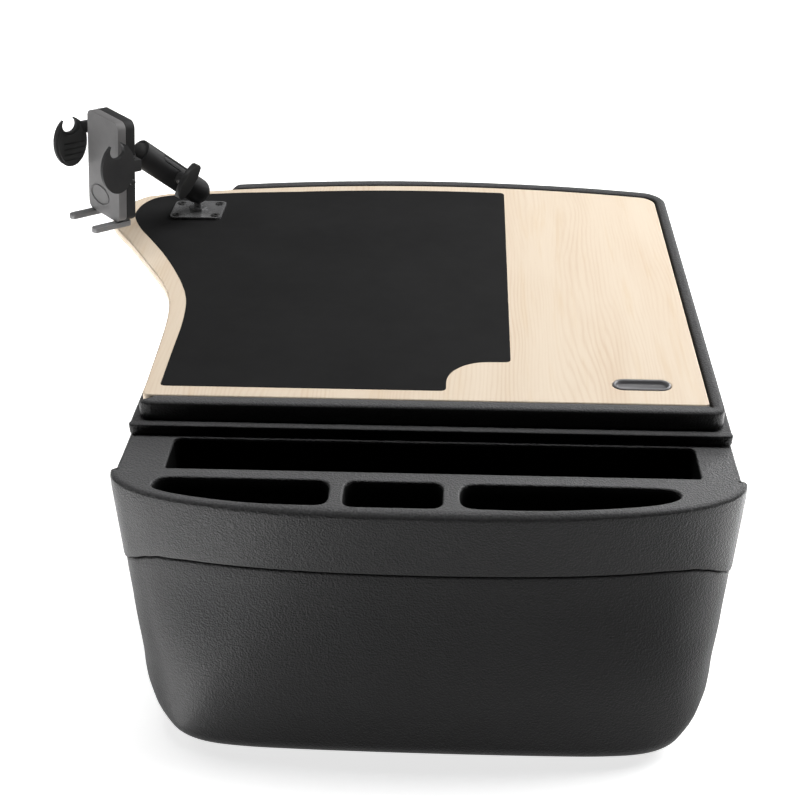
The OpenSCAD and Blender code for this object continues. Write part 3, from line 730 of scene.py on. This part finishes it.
# thin cups hanging under the pockets, given by (offset, height) inside and outside
CUP_FLOOR = 153.0
CUP_IN = [(0.3, 223.5), (0.0, 224.0), (-0.5, 223.0)]
CUP_IN += [(-0.5 - 2.2 * k / 8, lerp(223.0, CUP_FLOOR + 7, k / 8)) for k in range(1, 9)]
CUP_IN += [(-2.7 - 5 * (1 - math.cos(math.radians(18 * k))), CUP_FLOOR + 7 - 5 * math.sin(math.radians(18 * k)))
           for k in range(1, 6)]
CUP_OUT = ((0.3, 223.5), (0.3, 222.2), (-0.6, CUP_FLOOR + 6), (-2.0, CUP_FLOOR + 1.4), (-4.0, CUP_FLOOR))
for name, loop, node in (("cup_left", LEFT, "pen_cup_left"), ("cup_middle", MID, "pen_cup_centre"),
                         ("cup_right", RIGHT, "pen_cup_right")):
    b = Build()
    edge = clean(loop, 2.6)
    for prof, flip in ((CUP_IN, False), (CUP_OUT, True)):
        rings = [b.ring([(x, y, z) for x, y in offset(edge, d)]) for d, z in prof]
        b.skin(rings[::-1])
        b.cap(rings[-1], flip=flip)
    make(name, b, CUPS, "base", [node])

# ------------------------------------------------------------------ lid plate
lid_outline = (arc(-226.5, -169.5, 4, 180, 270, 8) + arc(226.5, -169.5, 4, 270, 360, 8)
               + arc(208.5, 266, 22, 0, 90, 10) + arc(-208.5, 266, 22, 90, 180, 10))
bead_outline = rrect(-230.5, -173.5, 230.5, -166.3, 3.5, 8)
b = Build()
b.plate(resample(lid_outline, 3), [slot_loop(-151, 171, -100, 14), slot_loop(-151, 171, 200, 14)],
        226.0, 232.95, rt=1.6, rb=0.8)
b.plate(resample(bead_outline, 2), [], 230.5, 234.5, rt=1.3, rb=0.1)
make("lid_panel", b, EDGE, "lid", ["lid_plate"])

# ------------------------------------------------------------------ desktop tray with its rolled rim
TRAY_FOOT = 233.5               # underside of the tray
RIM_LOW, RIM_HIGH = 239.6, 250.0
ROLL_LOW, ROLL_HIGH = 1.6, 3.0  # radius of the rim's outer edge, low and high
RIM_FRONT, RIM_REAR, RIM_RIGHT, RIM_LEFT = 14.0, 10.1, 9.7, 3.4     # widths


def back_outline(rr, xl, xr, yf, r, rf):
    """Outline with a bowed rear edge of radius rr, straight sides and small front corners."""
    cy = ARC_C[1] + math.sqrt((rr - r) ** 2 - (xr - r - ARC_C[0]) ** 2)
    au = math.degrees(math.atan2(cy - ARC_C[1], xr - r - ARC_C[0]))
    al = math.degrees(math.acos((xl - ARC_C[0]) / rr))
    big = arc(ARC_C[0], ARC_C[1], rr, au, al, 60)[1:]
    return (arc(xl + rf, yf + rf, rf, 180, 270, 8) + arc(xr - rf, yf + rf, rf, 270, 360, 8)
            + arc(xr - r, cy, r, 0, au, 10) + big)


TRAY = resample(ccw(back_outline(ARC_R + 11, -224.6, 225, -165.5, 28, 11)), 2.5)
TRAY_N = normals(TRAY)
TI = range(len(TRAY))


def rim_width(i):
    """Width of the rim, which changes round the corners."""
    nn = TRAY_N[i][0]
    return lerp(RIM_FRONT if nn.y < 0 else RIM_REAR, RIM_RIGHT if nn.x > 0 else RIM_LEFT, nn.x ** 2)


def rim_up(i):
    """1 where the rim stands above the board, 0 along the open left side."""
    x, y = TRAY[i]
    if x > -190:
        return 1.0
    if y < 0:
        return smooth01((-151.0 - y) / 12.5)
    return smooth01((x + 226.0) / 16.0)


def tray_pt(i, inset, z):
    """Point on the tray's outline, moved in."""
    nn, _ = TRAY_N[i]
    return (TRAY[i][0] - nn.x * inset, TRAY[i][1] - nn.y * inset, z)


def rim_edge(i, a):
    """Point on the rim's rolled outer edge, a from 0 at its side to 90 degrees at its top."""
    r = lerp(ROLL_LOW, ROLL_HIGH, rim_up(i))
    return tray_pt(i, min(r, rim_width(i) * 0.45) * (1 - math.cos(a)),
                   lerp(RIM_LOW, RIM_HIGH, rim_up(i)) - r * (1 - math.sin(a)))


def rim_top(i, t):
    """Point on the rim's top, t from 0 at its outer edge to 1 at the board."""
    start = min(lerp(ROLL_LOW, ROLL_HIGH, rim_up(i)), rim_width(i) * 0.45)
    return tray_pt(i, lerp(start, rim_width(i) - 1.6, t),
                   lerp(RIM_LOW, RIM_HIGH, rim_up(i)) - lerp(0, 1.2, t * t) * rim_up(i))


b = Build()
rings = [b.ring([tray_pt(i, d_in, z) for i in TI])
         for d_in, z in ((6.0, TRAY_FOOT), (1.2, TRAY_FOOT), (0.35, 233.85), (0.0, 234.7), (0.0, 237.5))]
rings += [b.ring([rim_edge(i, quarter(k, 8)) for i in TI]) for k in range(0, 9)]
rings += [b.ring([rim_top(i, k / 8) for i in TI]) for k in range(1, 9)]
rings += [b.ring([tray_pt(i, rim_width(i) + dx, lerp(RIM_LOW, RIM_HIGH + dz, rim_up(i))) for i in TI])
          for dx, dz in ((-0.9, -1.9), (-0.3, -3.0), (0.0, -4.6))]
rings.append(b.ring([tray_pt(i, rim_width(i) + 0.1, RIM_LOW) for i in TI]))
b.skin(rings)
b.sheet([rings[-1]], up=True)
b.sheet([rings[0]], up=False)
make("tray_shell", b, EDGE, "desktop", ["desktop_tray"], sharp=55)

# ------------------------------------------------------------------ wooden board, mat and recess trim
# the wing's free edge, from the rear to the front left corner
WING = [(-250, 300), (-284, 271), (-299, 265), (-309, 253), (-318, 236), (-323, 214), (-320, 193), (-309, 171),
        (-295, 148), (-279, 119), (-261, 85), (-247, 58), (-237, 33), (-231.5, 10), (-228, -20), (-226, -60),
        (-224.5, -105), (-223.5, -140), (-223, -190)]


def board_loop():
    """The board: straight front and right, bowed rear and the wing on the left."""
    xr, r = 214.5, 18.0     # right edge and the radius of its rear corner
    cx = xr - r
    cy = ARC_C[1] + math.sqrt((ARC_R - r) ** 2 - (cx - ARC_C[0]) ** 2)
    au = math.degrees(math.atan2(cy - ARC_C[1], cx - ARC_C[0]))
    rear = [p for p in arc(ARC_C[0], ARC_C[1], ARC_R, au, 110, 120)[1:] if p[0] > -276]
    left = [p for p in catmull(WING, 6) if p[0] <= -281 or p[1] < 200]
    left = [p for p in left if p[1] > -146]
    return (arc(-218.7, -145.2, 4.8, 180, 270, 6) + arc(xr - 3.5, -146.5, 3.5, 270, 360, 5)
            + arc(cx, cy, r, 0, au, 10) + rear + left)


TRIM_X, TRIM_Y = 165.5, -119.5      # middle of the finger recess
OVAL = slot_loop(TRIM_X - 23, TRIM_X + 23, TRIM_Y, 17.4)
b = Build()
b.plate(resample(ccw(board_loop()), 3.2), [OVAL], 240.0, BOARD_Z, rt=1.1, rb=0.8, seg=3)
make("board_panel", b, WOOD, "desktop", ["desktop_board"])

# the mat's edge beside the wing
MATP = [(-150, 283), (-202, 277.5), (-232, 273.5), (-262, 270), (-278, 266), (-291, 259), (-299.5, 245),
        (-303, 228), (-302, 209), (-290, 179), (-274, 151), (-257, 120), (-241, 86), (-228, 54), (-220, 28),
        (-216, 4), (-213.5, -30), (-213, -70), (-212, -129), (-212, -153)]


def mat_loop():
    """The mat: it follows the wing and has a notch at its front right corner."""
    left = catmull(MATP, 6)
    r = ARC_R - 14.0
    rear = arc(*ARC_C, r, math.degrees(math.asin((286.0 - ARC_C[1]) / r)), 96.6, 24)
    notch = catmull([(12.6, -133), (12.6, -127), (12.6, -121), (13.2, -114.5), (15.2, -107.5), (19.0, -100.6),
                     (25.4, -93.7), (31.5, -89.7), (38, -87.2), (46, -86.1), (56, -85.8), (62, -85.8)], 5)
    return (arc(-208.5, -131.9, 3.5, 180, 270, 4) + arc(8.6, -131.4, 4, 270, 360, 6) + notch
            + arc(59.8, -81.8, 4, 270, 360, 4) + arc(58.6, 281, 5, 0, 80, 5) + rear[2:] + left)


b = Build()
b.plate(resample(ccw(mat_loop()), 2.4), [], 246.5, BOARD_Z + 0.45, rt=0.8, rb=0.2, seg=3)
make("mat_panel", b, MATM, "desktop", ["writing_mat"])

# recessed oval finger trim
b = Build()
outer = resample(ccw(slot_loop(TRIM_X - 22.8, TRIM_X + 22.8, TRIM_Y, 17.0)), 1.6)
prof = [(0.0, 241.6), (0.0, 247.9), (0.35, 248.5), (1.1, 248.7), (1.9, 248.5), (2.5, 247.6), (2.9, 246.4),
        (3.3, 245.6), (4.2, 245.2)]
rings = [b.ring([(x, y, z) for x, y in offset(outer, -d)]) for d, z in prof]
b.skin(rings)
b.sheet([rings[-1]], up=True)
make("finger_trim", b, TRIM, "desktop", ["finger_cup"], sharp=60)

# ------------------------------------------------------------------ CAD nodes that keep their shape
for mat, nodes in (
        (RUB, ("base_pad", "lid_bumpers", "lower_ball_cover", "upper_ball_cover")),
        (CUPS, ("divider_panel",)),
        (HINGE, ("file_rail_left", "file_rail_right")),
        (SLIDEM, ("slide_rail_front", "slide_rail_rear", "slide_runner_front", "slide_runner_rear")),
        (STEEL, ("deck_screws", "hinge_left_pin", "hinge_right_pin", "hinge_screws", "lid_screws",
                 "runner_screws", "board_screws", "cradle_screws"))):
    for node in nodes:
        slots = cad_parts[node].data.materials
        slots.clear()
        slots.append(mat)

# ------------------------------------------------------------------ CAD nodes with softened edges
# node, material, body, slot, edge width in mm
for node, mat, body, slot, width in (
        ("hinge_left_fixed", HINGE, "base", "hinge", 0.4), ("hinge_right_fixed", HINGE, "base", "hinge", 0.4),
        ("hinge_left_moving", HINGE, "lid", "hinge", 0.3), ("hinge_right_moving", HINGE, "lid", "hinge", 0.3),
        ("mount_plate", PLATE, "desktop", "black_metal", 0.5),
        ("mount_screws", BLACKSCREW, "desktop", "black_screw", 0.3),
        ("arm_shell_near", ARMM, "arm", "arm", 0.7), ("arm_shell_far", ARMM, "arm", "arm", 0.7),
        ("clamp_bolt", STEEL, "arm", "screw", 0.3), ("wing_knob", KNOB, "knob", "knob", 1.2),
        ("ball_stud", PLATE, "cradle", "black_metal", 0.6), ("cradle_back_shell", CLAW, "cradle", "cradle", 0.9),
        ("cradle_front_cover", CRADLE, "cradle", "cradle", 1.2),
        ("jaw_left_claw", CLAW, "jaw_left", "claw", 0.9), ("jaw_right_claw", CLAW, "jaw_right", "claw", 0.9),
        ("jaw_left_pad", RUB, "jaw_left", "grip", 0.3), ("jaw_right_pad", RUB, "jaw_right", "grip", 0.3),
        ("release_button", KNOB, "button", "knob", 0.8),
        ("leg_left", LEG, "leg_l", "claw", 0.8), ("leg_right", LEG, "leg_r", "claw", 0.8)):
    soften(node, node + "_fin", mat, body, width)

# ------------------------------------------------------------------ trims on the phone holder
ARM_FOOT = (-241, 224, 270.7)       # centre of the arm's lower ball
ARM_RISE = math.radians(41.5)
ARM_LEN = 80.0                      # from ball to ball
FLAT = math.cos(ARM_RISE) * math.sqrt(0.5)
BALL = Vector(ARM_FOOT) + ARM_LEN * Vector((-FLAT, -FLAT, math.sin(ARM_RISE)))
CRADLE_M = (Matrix.Translation(BALL) @ Matrix.Rotation(math.radians(-45), 4, "Z")
            @ Matrix.Rotation(math.radians(-3.6), 4, "X") @ Matrix.Rotation(math.radians(3.1), 4, "Y")
            @ Matrix.Rotation(math.radians(90), 4, "X"))
ARM_M = (Matrix.Translation(ARM_FOOT) @ Matrix.Rotation(math.radians(225), 4, "Z")
         @ Matrix.Rotation(-ARM_RISE, 4, "Y"))

b = Build()
b.plate(rrect(-26.12, -53.62, 26.12, 43.62, 7.1, 8), [rrect(-24.4, -51.9, 24.4, 41.9, 5.6, 8)], 32.1, 33.7,
        rt=0.2, rb=0.2, seg=2)
make("cradle_seam", b, RUB, "cradle", M=CRADLE_M)

b = Build()
oval = [(-6 + 15.5 * math.cos(math.radians(a)), -35 + 9.5 * math.sin(math.radians(a))) for a in range(0, 360, 6)]
b.plate(oval, [offset(oval, -1.3)], 41.6, 42.6, rt=0.5, rb=0.1, seg=3)
make("cradle_oval", b, CRADLE, "cradle", M=CRADLE_M)

for name, deg in (("arm_ridge_1", 48), ("arm_ridge_2", -48)):
    b = Build()
    ridge = rrect(20, -3.6, 62, 3.6, 3.5, 6)
    b.plate(ridge, [offset(ccw(ridge), -1.1)], 11.7, 12.75, rt=0.35, rb=0.1, seg=2)
    make(name, b, ARMM, "arm", M=ARM_M @ Matrix.Rotation(math.radians(deg), 4, "X"))

# ------------------------------------------------------------------ floor, backdrop and light
FLOOR = 8000.0          # half the floor's width
BACKDROP_R = 7900.0
BACKDROP_Z = 9000.0


def pale(name, grey, rough, glow):
    """A matt grey that also glows a little of its own."""
    m = bpy.data.materials.new(name)
    m.use_nodes = True
    p = m.node_tree.nodes["Principled BSDF"]
    p.inputs["Base Color"].default_value = (grey, grey, grey, 1)
    p.inputs["Roughness"].default_value = rough
    p.inputs["Specular IOR Level"].default_value = 0.0
    p.inputs["Emission Color"].default_value = (1, 1, 1, 1)
    p.inputs["Emission Strength"].default_value = glow
    return m


b = Build()
b.f.append(b.ring([(-FLOOR, -FLOOR, 0), (FLOOR, -FLOOR, 0), (FLOOR, FLOOR, 0), (-FLOOR, FLOOR, 0)]))
show("floor", b.mesh("floor"), pale("floor_pale", 0.9, 0.95, 0.75))

# a pale round backdrop that is only seen, and lights nothing
b = Build()
for prof in (((BACKDROP_R, -5), (BACKDROP_R, 3000), (BACKDROP_R, BACKDROP_Z)),
             ((BACKDROP_R, BACKDROP_Z), (10, BACKDROP_Z))):
    b.skin([b.ring([(r * math.cos(math.radians(a)), r * math.sin(math.radians(a)), z) for a in range(0, 360, 5)])
            for r, z in prof], flip=True)
backdrop = show("backdrop", b.mesh("backdrop"), pale("backdrop_pale", 0.8, 1.0, 0.62))
backdrop.visible_diffuse = False
backdrop.visible_glossy = False
backdrop.visible_transmission = False
backdrop.visible_shadow = False

# the surroundings are brighter behind the object and to its right
world = bpy.data.worlds.new("world")
scene.world = world
world.use_nodes = True
wn, wl = world.node_tree.nodes, world.node_tree.links
bg = wn["Background"]
bg.inputs["Strength"].default_value = 1.0
wtc = wn.new("ShaderNodeTexCoord")
wsep = wn.new("ShaderNodeSeparateXYZ")
wl.new(wtc.outputs["Generated"], wsep.inputs[0])


def world_step(axis, x0, x1, y0, y1, kind="LINEAR"):
    """A step along one axis of the view direction, from y0 at x0 to y1 at x1."""
    t = wn.new("ShaderNodeMapRange")
    t.interpolation_type = kind
    for sock, v in (("From Min", x0), ("From Max", x1), ("To Min", y0), ("To Max", y1)):
        t.inputs[sock].default_value = v
    wl.new(wsep.outputs[axis], t.inputs["Value"])
    return t.outputs["Result"]


wm = wn.new("ShaderNodeMath")
wm.operation = "MULTIPLY"
wl.new(world_step("Y", 0.05, 0.9, 0.006, 0.34, "SMOOTHSTEP"), wm.inputs[0])
wl.new(world_step("X", -0.35, 0.35, 0.35, 1.5), wm.inputs[1])
wl.new(wm.outputs[0], bg.inputs["Color"])


def area_light(name, loc, target, size, size_y, radiance):
    """A soft panel of size by size_y metres, given by its brightness."""
    d = bpy.data.lights.new(name, "AREA")
    d.shape = "RECTANGLE"
    d.size = size
    d.size_y = size_y
    d.energy = radiance * math.pi * size * size_y
    o = bpy.data.objects.new(name, d)
    coll.objects.link(o)
    v = Vector(target) - Vector(loc)
    o.matrix_world = Matrix.Translation(loc) @ v.to_track_quat("-Z", "Y").to_matrix().to_4x4()
    return o


def floor_glow(name, x, y, size, size_y, radiance):
    """A bright patch of the floor itself, seen only through the light it gives."""
    o = area_light(name, (x, y, 0.004), (x, y, 1.0), size, size_y, radiance)
    o.visible_camera = False
    o.matrix_world = Matrix.Translation((x, y, 0.004)) @ Matrix.Rotation(math.pi, 4, "X")


area_light("overhead", (0.2, 0.13, 2.1), (0.2, 0.13, 0.2), 2.0, 0.56, radiance=9.5)
area_light("right_side", (1.35, 0.5, 0.95), (0.05, 0.1, 0.2), 1.1, 0.8, radiance=6.4)
area_light("left_side", (-1.6, 0.6, 1.1), (0, 0.05, 0.2), 1.1, 0.8, radiance=1.3)
area_light("right_rear", (1.35, 2.1, 1.45), (0.15, 0, 0.2), 1.2, 1.0, radiance=8.5)
floor_glow("left_front_glow", -0.50, -0.50, 0.6, 0.45, radiance=7.5)
floor_glow("left_glow", -0.52, 0.10, 0.30, 0.9, radiance=2.4)
floor_glow("right_glow", 0.56, -0.10, 0.30, 0.9, radiance=6.5)
